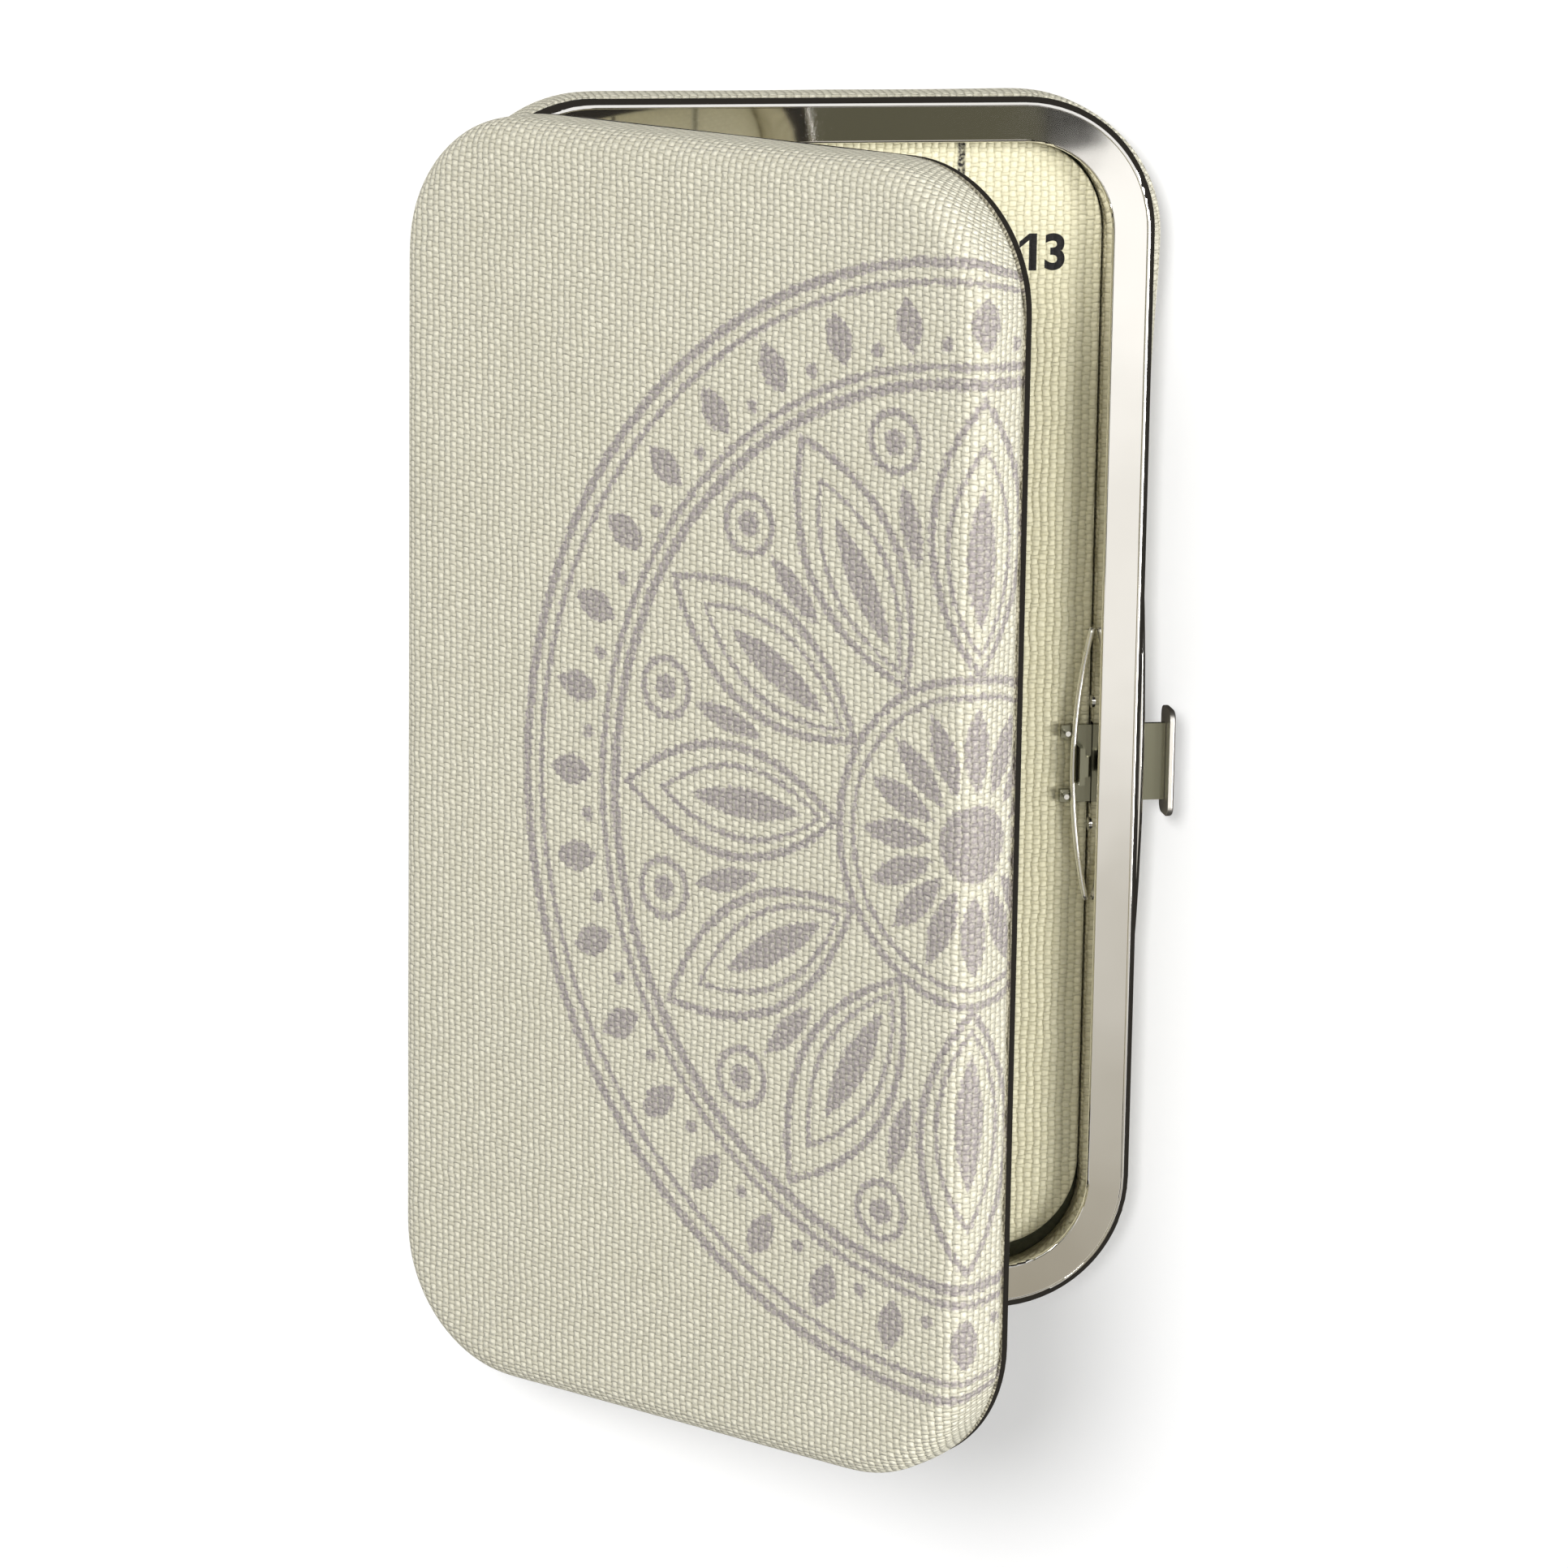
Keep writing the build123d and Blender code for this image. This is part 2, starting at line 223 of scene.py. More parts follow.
# %% A material and the nodes that feed it
class Finish:
    """A material: its node tree, its main shader and one way to add any other node."""

    def __init__(self, name, color, **sockets):
        self.material = bpy.data.materials.new(name)
        self.material.use_nodes = True
        self.material.diffuse_color = (*color, 1.0)
        self.tree = self.material.node_tree
        self.shader = self.tree.nodes["Principled BSDF"]
        self.set("Base Color", (*color, 1.0))
        for socket, value in sockets.items():
            self.set(socket.replace("_", " ").title(), value)

    def set(self, socket, value):
        feed(self.tree, self.shader.inputs[socket], value)

    def add(self, kind, settings, inputs, output=0):
        node = self.tree.nodes.new("ShaderNode" + kind)
        for name, value in settings.items():
            setattr(node, name, value)
        for name, value in inputs.items():
            feed(self.tree, node.inputs[name], value)
        return Value(self.tree, node.outputs[output])

    def place(self):
        """Object coordinates, in metres."""
        return self.add("TexCoord", {}, {}, "Object")

    def cloth(self):
        """The place on the flat cloth, in metres."""
        return self.add("UVMap", {"uv_map": "cloth"}, {})

    def split(self, vector):
        node = self.tree.nodes.new("ShaderNodeSeparateXYZ")
        feed(self.tree, node.inputs[0], vector)
        return [Value(self.tree, socket) for socket in node.outputs]

    def join(self, x, y):
        return self.add("CombineXYZ", {}, {"X": x, "Y": y})

    def noise(self, vector, scale, detail=2.0, roughness=0.5):
        inputs = {"Vector": vector, "Scale": scale, "Detail": detail, "Roughness": roughness}
        return self.add("TexNoise", {}, inputs, "Fac")

    def stretched(self, vector, scale):
        return self.add("Mapping", {}, {"Vector": vector, "Scale": scale})

    def blend(self, share, first, second):
        """The first colour, turning into the second as the share goes from 0 to 1."""
        node = self.tree.nodes.new("ShaderNodeMix")
        node.data_type = "RGBA"
        for index, value in ((0, share), (6, first), (7, second)):
            value = (*value, 1.0) if isinstance(value, tuple) else value
            feed(self.tree, node.inputs[index], value)
        return Value(self.tree, node.outputs[2])

    def bump(self, height, distance, strength=1.0):
        inputs = {"Height": height, "Distance": distance, "Strength": strength}
        self.set("Normal", self.add("Bump", {}, inputs))


def linear(red, green, blue):
    """A colour as a picture editor shows it, 0 to 255, turned to the linear values that a shader takes."""
    parts = (red / 255, green / 255, blue / 255)
    return tuple(((part + 0.055) / 1.055) ** 2.4 if part > 0.04045 else part / 12.92 for part in parts)


def darker(color, share):
    return tuple(part * share for part in color)


print("finishes can be mixed")

# %% [markdown]
# ## Floor
# The case lies on a white sheet. The sheet has to stay white where light reaches it and still take the
# case's soft shadow, so a little glow is added for camera and mirror rays only. Light that bounces off it
# onto the case doesn't see the glow.

# %% Lay the floor
floor_half_size = 3.0
sheet_color = (0.8, 0.8, 0.8)
floor_glow = 0.26
white = (1.0, 1.0, 1.0, 1.0)


def add_mesh(name, bm, material):
    """Turns a finished bmesh into an object of one material."""
    mesh = bpy.data.meshes.new(name)
    bm.to_mesh(mesh)
    bm.free()
    mesh.materials.append(material)
    return add_object(name, mesh)


def seen_directly(tree):
    """1 for what the camera sees, also in a mirror or through glass, and 0 for light that only spreads."""
    path = tree.nodes.new("ShaderNodeLightPath")
    rays = [Value(tree, path.outputs[f"Is {kind} Ray"]) for kind in ("Camera", "Glossy", "Transmission")]
    return rays[0].highest(rays[1]).highest(rays[2])


def lay_floor():
    bm = bmesh.new()
    bmesh.ops.create_grid(bm, x_segments=1, y_segments=1, size=floor_half_size)
    finish = Finish("white_sheet", sheet_color, roughness=1.0)
    finish.set("Specular IOR Level", 0.0)
    finish.set("Emission Color", white)
    finish.set("Emission Strength", seen_directly(finish.tree) * floor_glow)
    floor = add_mesh("studio_floor", bm, finish.material)
    return floor


floor = lay_floor()
print("floor glow", floor_glow)

# %% [markdown]
# ## Lamps
# One large soft lamp stands up and to the left beyond the case's top end, so the shadow falls to the
# right and down the page. A weaker one on the right reaches in under the lid. It is kept off the floor,
# which it would whiten and shade a second time, and a pale sky fills in.

# %% Set the lamps and the sky
key_place = Vector((-0.45, 0.41, 1.13))
key_size = 0.34
key_power = 11.5
fill_place = Vector((0.82, -0.10, 0.95))
fill_size = 0.5
fill_power = 12.0
lamp_target = Vector((0, 0, 0.02))
sky_strength = 0.48


def add_lamp(name, place, size, power):
    lamp = bpy.data.lights.new(name, "AREA")
    lamp.shape = "DISK"
    lamp.size = size
    lamp.energy = power
    holder = add_object(name, lamp)
    aim = (lamp_target - place).to_track_quat("-Z", "Y").to_matrix()
    holder.matrix_world = Matrix.Translation(place) @ aim.to_4x4()
    return holder


def keep_off_floor(lamp):
    unlit = bpy.data.collections.new("unlit_by_fill")
    unlit.objects.link(floor)
    unlit.collection_objects[0].light_linking.link_state = "EXCLUDE"
    lamp.light_linking.receiver_collection = unlit


def set_sky():
    """A sky that lights the case softly and still looks white."""
    world = bpy.data.worlds.new("studio_sky")
    world.use_nodes = True
    bpy.context.scene.world = world
    tree = world.node_tree
    shader = tree.nodes["Background"]
    feed(tree, shader.inputs["Color"], white)
    feed(tree, shader.inputs["Strength"], seen_directly(tree) * (1.0 - sky_strength) + sky_strength)


add_lamp("key", key_place, key_size, key_power)
keep_off_floor(add_lamp("fill", fill_place, fill_size, fill_power))
set_sky()
print("key", key_power, "fill", fill_power, "sky", sky_strength)

# %% [markdown]
# ## Cards
# Polished nickel shows whatever stands round it. In the photograph its rolled edges are dark and its flat
# land fades from white to a warm grey, with an olive band along the top that ends black in the corner. So
# dark cards stand around the case, and a shaded card, an olive one and a small black one hang where the
# land looks. Only mirror rays see the cards.

# %% Make cards that only mirrors see
card_radius = 0.75
card_height = 0.95
card_sides = 48
card_gap = 0.2 * MM
dark_color = (0.035, 0.032, 0.028)


def glowing(name, color):
    finish = Finish(name, (0.0, 0.0, 0.0), roughness=1.0)
    finish.set("Specular IOR Level", 0.0)
    finish.set("Emission Color", (*color, 1.0))
    finish.set("Emission Strength", 1.0)
    return finish


def put_card(name, bm, finish):
    card = add_mesh(name, bm, finish.material)
    for ray in ("camera", "diffuse", "shadow", "transmission"):
        setattr(card, f"visible_{ray}", False)


def points_of(geometry):
    return [item for item in geometry if isinstance(item, bmesh.types.BMVert)]


def stand_dark_cards():
    """A dark tray: a disc just over the floor and a wall round it."""
    bm = bmesh.new()
    bmesh.ops.create_circle(bm, segments=card_sides, radius=card_radius, cap_ends=True)
    grown = bmesh.ops.extrude_edge_only(bm, edges=bm.edges[:])["geom"]
    bmesh.ops.translate(bm, vec=(0, 0, card_height), verts=points_of(grown))
    bmesh.ops.translate(bm, vec=(0, 0, card_gap), verts=bm.verts)
    put_card("dark_cards", bm, glowing("dark_card", dark_color))


stand_dark_cards()
print("dark cards, m", card_radius, "round and", card_height, "high")

# %% Hang the cards that the land mirrors
ceiling_height = 0.70
land_card = ((-0.15, -0.45), (0.40, 0.0))
olive_card = ((-0.15, -0.12), (0.187, 0.12))
olive_drop = 5 * MM
olive_color = (0.11, 0.105, 0.07)
corner_card = ((0.181, -0.0255), (0.1965, 0.12))
corner_drop = 7 * MM
corner_color = (0.022, 0.021, 0.019)
grey_end = -0.29
white_end = -0.05
warm_grey = (0.30, 0.275, 0.22)
warm_white = (0.95, 0.94, 0.92)
shaded_strength = 1.28
cloud_scale = 9.0
cloudiness = 0.9


def hang_card(name, corners, finish, drop=0.0):
    low, high = corners
    bm = bmesh.new()
    bmesh.ops.create_grid(bm, x_segments=1, y_segments=1, size=0.5)
    bmesh.ops.scale(bm, vec=(high[0] - low[0], high[1] - low[1], 1), verts=bm.verts)
    middle = ((low[0] + high[0]) / 2, (low[1] + high[1]) / 2, ceiling_height - drop)
    bmesh.ops.translate(bm, vec=middle, verts=bm.verts)
    put_card(name, bm, finish)


def shaded():
    """White at the case's top end, warm grey at its foot, and a little cloudy."""
    finish = glowing("shaded_card", warm_white)
    place = finish.place()
    cloud = finish.noise(place, cloud_scale, 3.0, 0.6)
    along = (finish.split(place)[1] - grey_end) / (white_end - grey_end)
    share = (along + (cloud - 0.5) * cloudiness).clamped()
    finish.set("Emission Color", finish.blend(share, warm_grey, warm_white))
    finish.set("Emission Strength", shaded_strength)
    return finish


hang_card("land_card", land_card, shaded())
hang_card("olive_card", olive_card, glowing("olive_card", olive_color), olive_drop)
hang_card("corner_card", corner_card, glowing("corner_card", corner_color), corner_drop)
print("cards hang at, m", ceiling_height)

# %% [markdown]
# ## Weave
# Linen canvas is a plain weave: every thread goes over its neighbour and under the next. Along each
# thread its height is a sine, and across it a rounded crown, and the higher of warp and weft is what
# shows. The warp, which runs along the case, is the tighter one: it swings only a little, so it stands up
# as upright threads, and where the weft shows between them it gets painted shade, so its bars look darker.
# The threads wander and swell a little, which keeps the cloth from looking printed. Object coordinates
# would slice through the rounded sides, so each soft piece carries a UV map with its place on the flat
# cloth, in metres.

# %% Weave the threads
cover_weave = ((0.89 * MM, 0.57 * MM), 1.12)
pad_weave = ((0.90 * MM, 0.555 * MM), 1.0)
thread_roundness = 0.6
thread_wander = 0.9
thread_wander_scale = 260.0
row_wander = 0.8
slub_length = 9.0
slub_step = 3.7
weft_slub_start = 500.0
warp_swing = 0.36
crossing_sharpness = 5.0


def plain_weave(finish, pitch, warp_rise):
    """How high the cloth is, about 0 to 1, its threads' shade, and the warp's share of what shows.

    The pitch is the distance between threads, across the case and along it.
    """
    place = finish.cloth()
    across, along = finish.split(place)[:2]
    wander = (finish.noise(place, thread_wander_scale, 3.0) - 0.5) * thread_wander
    column = across / pitch[0] + wander
    row = along / pitch[1] - wander * row_wander
    wave_across = (column * math.pi).sine()
    wave_along = (row * math.pi).sine()
    warp_side = 1.0 - 2.0 * column.floor().modulo(2.0)
    weft_side = 1.0 - 2.0 * row.floor().modulo(2.0)
    warp_place = finish.join(column.floor() * slub_step, row / slub_length)
    weft_place = finish.join(column / slub_length, row.floor() * slub_step + weft_slub_start)
    warp_slub = finish.noise(warp_place, 1.0)
    weft_slub = finish.noise(weft_place, 1.0)
    warp_path = (1.0 - warp_swing) + warp_swing * warp_side * wave_along
    weft_path = 0.5 - 0.5 * weft_side * wave_across
    warp = abs(wave_across).power(thread_roundness) * warp_path * (0.5 + warp_slub) * warp_rise
    weft = abs(wave_along).power(thread_roundness) * weft_path * (0.5 + weft_slub)
    warp_share = ((warp - weft) * crossing_sharpness + 0.5).clamped()
    return warp.highest(weft), (warp_slub + weft_slub) / 2, warp_share


for name, weave in (("cover", cover_weave), ("pad", pad_weave)):
    print(name, "threads per 10 mm, across and along", [round(10 * MM / step, 1) for step in weave[0]])

# %% [markdown]
# ## Dye and painted shade
# Undyed linen has light threads. The gaps between them, where the cloth is low, get painted shade: a
# darker colour, which the weft also takes in part where it shows. Thick slubs stay light, and the thin
# stretches, worn patches and loose fibres are darker. Ink lies on top of the threads and hardly reaches
# the gaps, so a print lets the weave show through, and in the gaps the ink too is painted darker as shade.

# %% Colour the cloth, paint shade into its gaps and print on it
gap_shade_contrast = 2.4
gap_shade_level = 0.35
weft_shade_level = 0.66
patch_scale = 60.0
fibre_scale = 2600.0
wear_level = 0.75
wear_by_slub = 0.9
wear_by_patch = 0.25
wear_by_fibre = 0.8
most_wear = 0.6
ink_level = 0.6
ink_by_height = 0.35
ink_by_fibre = 2.2
ink_gap_shade = 0.5
fibre_height = 0.35


def linen(name, high, low, weave, relief, printed=None, ink=None):
    """Cloth in two colours: the threads' own, and a darker one painted as shade in the gaps.

    Printed is a function that draws the ink's shapes, and ink is its colour and its strength.
    """
    finish = Finish(name, high, roughness=0.9, sheen_weight=0.08, sheen_roughness=0.5)
    height, shade, warp_share = plain_weave(finish, *weave)
    place = finish.cloth()
    patch = finish.noise(place, patch_scale, 3.0)
    fibre = finish.noise(place, fibre_scale, 2.0) - 0.5
    # Painted shade: low places, and the weft where it shows, lean towards the darker gap colour.
    weft_shading = weft_shade_level + (1.0 - weft_shade_level) * warp_share
    unshaded_share = (height * gap_shade_contrast - gap_shade_level).clamped() * weft_shading
    wear = wear_level - wear_by_slub * shade + wear_by_patch * patch + wear_by_fibre * fibre
    color = finish.blend(wear.clamped() * most_wear, finish.blend(unshaded_share, low, high), low)
    if printed:
        hold = ink_level + ink_by_height * height + ink_by_fibre * fibre
        amount = (printed(finish) * hold).clamped() * ink[1]
        # Painted shade: the ink is darker where it lies in the gaps.
        color = finish.blend(amount, color, finish.blend(unshaded_share, darker(ink[0], ink_gap_shade), ink[0]))
    finish.set("Base Color", color)
    finish.bump(height + fibre * fibre_height, relief)
    return finish.material


linen_thread = linear(238, 234, 214)
# Painted shade: the gap colour stands in for the shade between the threads.
linen_gap_shade = linear(165, 160, 137)
linen_relief = 0.38 * MM
plain_linen = linen("plain_linen", linen_thread, linen_gap_shade, cover_weave, linen_relief)
print("plain cloth", plain_linen.name)

# %% [markdown]
# ## Rosette
# The lid's linen carries a round ornament in grey ink, cut in half by the free edge. It is drawn by
# folding the plane like paper: the angle is wrapped into one sector, so a leaf that is drawn once comes
# out all round. Each shape is a distance that a soft threshold turns into ink, and a shape without a
# line's width is filled.

# %% Shapes made of distances
ink_softness = 0.3 * MM


def inked(distance, half_line=None):
    """Ink within half_line, in millimetres, of an outline, or all over its inside if it has no line.

    The distance from the outline is in metres, and below 0 inside.
    """
    if half_line is None:
        return (0.5 - distance / ink_softness).clamped()
    return ((half_line * MM - abs(distance)) / ink_softness + 0.5).clamped()


def folded(radius, angle, count, turn):
    """Distance out along a sector's middle line, and aside from it, for the nearest of count sectors."""
    sector = 2.0 * math.pi / count
    aside = abs((angle + sector / 2 + turn * sector).modulo(sector) - sector / 2)
    return radius * aside.cosine(), radius * aside.sine()


def leaf(out, aside, inner, outer, half_width):
    """Signed distance, roughly, to a leaf between two radii."""
    middle = (inner + outer) / 2 * MM
    half_length = (outer - inner) / 2 * MM
    reach = abs((out - middle) / half_length).power(2.0)
    return aside - half_width * MM * (1.0 - reach)


def dot(out, aside, at, radius):
    across = out - at * MM
    return (across * across + aside * aside).root() - radius * MM


print("ink fades over, mm", ink_softness / MM)

# %% [markdown]
# The sizes of the rosette are in millimetres. A ring has its radius and half its line's width. A sector
# is given by how many go round and by its turn, in sectors. Its leaves have an inner and an outer radius
# and half their width, and its dots a place and a radius. Last comes half the line's width, or None for
# a filled shape.

# %% Draw the rosette
rosette_center = (rim_half_width + 0.4 * MM, 1.0 * MM)
fray = 1.3 * MM
fray_scale = 1500.0
heart_radius = 4.2 * MM
rings = ((60.6, 0.55), (58.6, 0.35), (49.9, 0.4), (48.1, 0.6), (17.4, 0.45), (15.6, 0.3))
sectors = {
    (36, 0.0): [(leaf, (51.4, 57.2, 1.7), None)],
    (36, 0.5): [(dot, (52.2, 0.75), None)],
    (12, 0.0): [
        (leaf, (18.0, 46.4, 6.0), 0.5),
        (leaf, (20.0, 41.5, 3.9), 0.32),
        (leaf, (22.5, 37.5, 1.7), None),
    ],
    (12, 0.5): [
        (dot, (42.6, 3.1), 0.4),
        (dot, (42.6, 1.4), None),
        (leaf, (29.0, 38.3, 1.3), None),
    ],
    (16, 0.0): [(leaf, (5.4, 14.4, 1.5), None)],
}


def rosette(finish):
    place = finish.cloth()
    across, along = finish.split(place)[:2]
    mirrored = finish.stretched(place, (-1, 1, 1))
    x = across - rosette_center[0] + (finish.noise(place, fray_scale) - 0.5) * fray
    y = along - rosette_center[1] + (finish.noise(mirrored, fray_scale) - 0.5) * fray
    radius = (x * x + y * y).root()
    angle = add_math(finish.tree, "ARCTAN2", y, x) + 2.0 * math.pi
    ink = inked(radius - heart_radius)
    for ring, half_line in rings:
        ink = ink.highest(inked(radius - ring * MM, half_line))
    for (count, turn), shapes in sectors.items():
        out, aside = folded(radius, angle, count, turn)
        for shape, sizes, half_line in shapes:
            ink = ink.highest(inked(shape(out, aside, *sizes), half_line))
    return ink


rosette_ink = linear(156, 146, 149)
rosette_strength = 0.85
print_ink = (rosette_ink, rosette_strength)
printed_linen = linen("printed_linen", linen_thread, linen_gap_shade, cover_weave, linen_relief, rosette, print_ink)
print("rosette centre, mm", tuple(round(value / MM, 2) for value in rosette_center))

# %% [markdown]
# ## Pad cloth
# The pads that hold the needles have finer greenish linen with black lines that part the columns. The
# lines lie straight along the cloth, so each is only a distance across.

# %% Rule the columns
column_width = 17.9 * MM
half_rule = 0.42
pad_thread = linear(243, 238, 209)
# Painted shade: the pad's gap colour stands in for the shade between its threads.
pad_gap_shade = linear(190, 184, 150)
pad_relief = 0.27 * MM
line_ink = linear(28, 25, 27)


def column_ink(finish):
    """A line along the pad's middle and one a column's width to each side of it."""
    across = finish.split(finish.cloth())[0]
    ink = inked(across, half_rule)
    for side in (-1, 1):
        ink = ink.highest(inked(across - side * column_width, half_rule))
    return ink


pad_cloth = linen("pad_cloth", pad_thread, pad_gap_shade, pad_weave, pad_relief, column_ink, (line_ink, 1.0))
print("columns, mm", round(column_width / MM, 1), "wide on", pad_cloth.name)

# %% [markdown]
# ## Metals and boards
# Bright nickel is a mirror with the faint waves of a pressed strip, and fingers dull it in patches. The
# latch's button, which the thumb presses each time, has lost most of its polish. The boards and sheets
# inside are matt, with fibres or specks. The tray's lining is its own greenish grey, painted darker as
# shade in the gap between pad and rim.

# %% Polish the nickel and mix the plain finishes
smudge_scale = 90.0
smudge_dulling = 0.9
smudge_tint = 0.25
smudge_dark = 0.8
wave_scale = 120.0
strip_waves = 0.02 * MM
wire_waves = 0.005 * MM
grain_contrast = 2.0
grain_level = 0.6
grain_relief = 0.08 * MM


def nickel(name, color, roughness, waves=strip_waves):
    finish = Finish(name, color, metallic=1.0)
    place = finish.place()
    smudge = finish.noise(place, smudge_scale, 4.0, 0.6)
    finish.set("Roughness", roughness + (smudge - 0.5) * roughness * smudge_dulling)
    finish.bump(finish.noise(place, wave_scale, 1.0), waves)
    finish.set("Base Color", finish.blend(smudge * smudge_tint, color, darker(color, smudge_dark)))
    return finish.material


def fibres(name, color, dark, scale, stretch, roughness):
    finish = Finish(name, color, roughness=roughness)
    grain = finish.noise(finish.stretched(finish.place(), stretch), scale, 6.0, 0.7)
    finish.set("Base Color", finish.blend((grain * grain_contrast - grain_level).clamped(), dark, color))
    finish.bump(grain, grain_relief, 0.7)
    return finish.material


finishes = {
    "plated_steel": nickel("bright_nickel", (0.86, 0.84, 0.80), 0.05),
    "rivet_steel": nickel("rivet_nickel", (0.80, 0.79, 0.76), 0.16),
    "pin_steel": nickel("drawn_steel", (0.62, 0.61, 0.58), 0.24),
    "bar_steel": nickel("bar_steel", (0.24, 0.235, 0.17), 0.22),
    "spring_wire": nickel("spring_wire", (0.95, 0.94, 0.92), 0.26, wire_waves),
    "hard_board": fibres(
        "pressed_board", linear(150, 138, 118), linear(104, 94, 78), 900.0, (1, 1, 0.3), 0.85
    ),
    "card": fibres("pad_card", linear(176, 168, 150), linear(150, 140, 120), 1400.0, (1, 0.4, 1), 0.8),
    "magnetic_sheet": fibres(
        "magnetic_sheet", linear(62, 60, 58), linear(38, 37, 36), 2600.0, (1, 1, 1), 0.65
    ),
    # Painted shade: the lining's colour is darker than its own, for the shaded gap round the pad.
    "lining": fibres("tray_lining_and_shade", linear(118, 120, 98), linear(94, 96, 76), 2200.0, (1, 1, 1), 0.95),
    "linen": plain_linen,
    "printed_linen": printed_linen,
    "pad_cloth": pad_cloth,
}
worn_pieces = {"latch_button": nickel("worn_nickel", (0.68, 0.65, 0.60), 0.38)}
slots = {part["node"]: part["material_slot"] for part in frame["record"]["subparts"]}
for name, piece in frame["nodes"].items():
    piece.data.materials.clear()
    piece.data.materials.append(worn_pieces.get(name, finishes[slots[name]]))
print("finishes", sorted(finishes))

# %% [markdown]
# ## Rounded sheets
# Both the covers and the pads are cloth drawn over a plate with round corners. Each starts as a flat grid
# over the plate's straight core. A ring with round corners is welded round it, and is then extruded
# outwards step by step along the edge's profile. Each point keeps its place on the flat cloth as it goes.

# %% Bend a ring round the plate
cloth_spacing = 2.0 * MM
weld_distance = 0.01 * MM
speck_size = 0.001 * MM


def edges_of(geometry):
    return [item for item in geometry if isinstance(item, bmesh.types.BMEdge)]


def round_ring(core, reach, counts, corner_steps):
    """A ring of edges at this reach from the core, with as many steps along each side as counts tells."""
    bm = bmesh.new()
    bmesh.ops.create_grid(bm, x_segments=1, y_segments=1, size=1.0)
    bmesh.ops.scale(bm, vec=(core[0] + reach, core[1] + reach, 1), verts=bm.verts)
    bmesh.ops.bevel(
        bm, geom=bm.verts[:], affect="VERTICES", offset=reach, segments=corner_steps, profile=0.5, material=-1
    )
    bmesh.ops.delete(bm, geom=bm.faces[:], context="FACES_ONLY")
    straight = [edge for edge in bm.edges if edge.calc_length() > reach]
    level = [edge for edge in straight if abs(edge.verts[0].co.y - edge.verts[1].co.y) < reach]
    upright = [edge for edge in straight if edge not in level]
    bmesh.ops.subdivide_edges(bm, edges=level, cuts=counts[0] - 1)
    bmesh.ops.subdivide_edges(bm, edges=upright, cuts=counts[1] - 1)
    return bm


def set_ring(points, flat, core, reach, height, spent):
    """Moves points out to reach from the core, at this height; spent is the cloth used on the way."""
    for point in points:
        nearest = [max(-half, min(half, place)) for half, place in zip(core, point.co.xy)]
        inner = Vector((*nearest, 0))
        outward = (Vector((point.co.x, point.co.y, 0)) - inner).normalized()
        point.co = inner + outward * reach + Vector((0, 0, height))
        point[flat] = inner + outward * spent


print("cloth spacing, mm", cloth_spacing / MM)


# %% Grow a sheet round its edge
def rounded_sheet(core, profile, corner_steps):
    """A sheet over a rounded plate: core is half the straight part, profile the edge as (reach, height)."""
    counts = [round(2 * half / cloth_spacing) for half in core]
    (_, middle_height), (first, first_height), *steps = profile
    bm = round_ring(core, first, counts, corner_steps)
    flat = bm.verts.layers.float_vector.new("flat")
    ring = bm.edges[:]
    set_ring(bm.verts[:], flat, core, first, first_height, first)
    inner = bmesh.ops.extrude_edge_only(bm, edges=ring)["geom"]
    set_ring(points_of(inner), flat, core, 0.0, middle_height, 0.0)
    spent = first
    before = Vector((first, first_height))
    for step in steps:
        spent += (Vector(step) - before).length
        before = Vector(step)
        grown = bmesh.ops.extrude_edge_only(bm, edges=ring)["geom"]
        set_ring(points_of(grown), flat, core, *step, spent)
        ring = edges_of(grown)
    middle = bmesh.ops.create_grid(bm, x_segments=counts[0], y_segments=counts[1], size=1.0)["verts"]
    for point in middle:
        point.co = Vector((point.co.x * core[0], point.co.y * core[1], middle_height))
        point[flat] = (point.co.x, point.co.y, 0)
    bmesh.ops.remove_doubles(bm, verts=bm.verts[:], dist=weld_distance)
    bmesh.ops.dissolve_degenerate(bm, edges=bm.edges[:], dist=speck_size)
    return bm, flat


def turn_faces(bm, upward):
    """Turns all faces one way, so that the sheet's middle faces up or down."""
    bmesh.ops.recalc_face_normals(bm, faces=bm.faces[:])
    middle = min(bm.faces, key=lambda face: face.calc_center_median().xy.length)
    if (middle.normal.z > 0) != upward:
        bmesh.ops.reverse_faces(bm, faces=bm.faces)


def arc(center, radius, start, end, steps):
    """Points of an arc, from start to end in degrees, as (reach, height)."""
    angles = [math.radians(start + (end - start) * index / steps) for index in range(steps + 1)]
    return [(center[0] + radius * math.cos(a), center[1] + radius * math.sin(a)) for a in angles]


print("rounded sheets ready")

# %% [markdown]
# ## Soft pieces
# A sheet becomes a piece when its cloth map is written and it rides on a body. All are made in the closed
# base's place, and the lid's are mirrored up and swung open. A Solidify modifier gives the cloth its
# thickness, and one level of subdivision rounds it.

# %% Finish a soft piece
smooth_levels = 1


def write_piece(name, bm, flat, material, body):
    cloth = bm.loops.layers.uv.new("cloth")
    for face in bm.faces:
        face.smooth = True
        for loop in face.loops:
            loop[cloth].uv = Vector(loop.vert[flat])[:2]
    if body == "lid":
        bmesh.ops.transform(bm, matrix=open_lid, verts=bm.verts)
        bmesh.ops.reverse_faces(bm, faces=bm.faces)
    piece = add_mesh(name, bm, material)
    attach(piece, body)
    return piece


def thicken(piece, thickness):
    solidify = piece.modifiers.new("thickness", "SOLIDIFY")
    solidify.thickness = thickness
    solidify.offset = -1.0
    smooth = piece.modifiers.new("smooth", "SUBSURF")
    smooth.levels = smooth_levels
    smooth.render_levels = smooth_levels


print("smooth levels", smooth_levels)

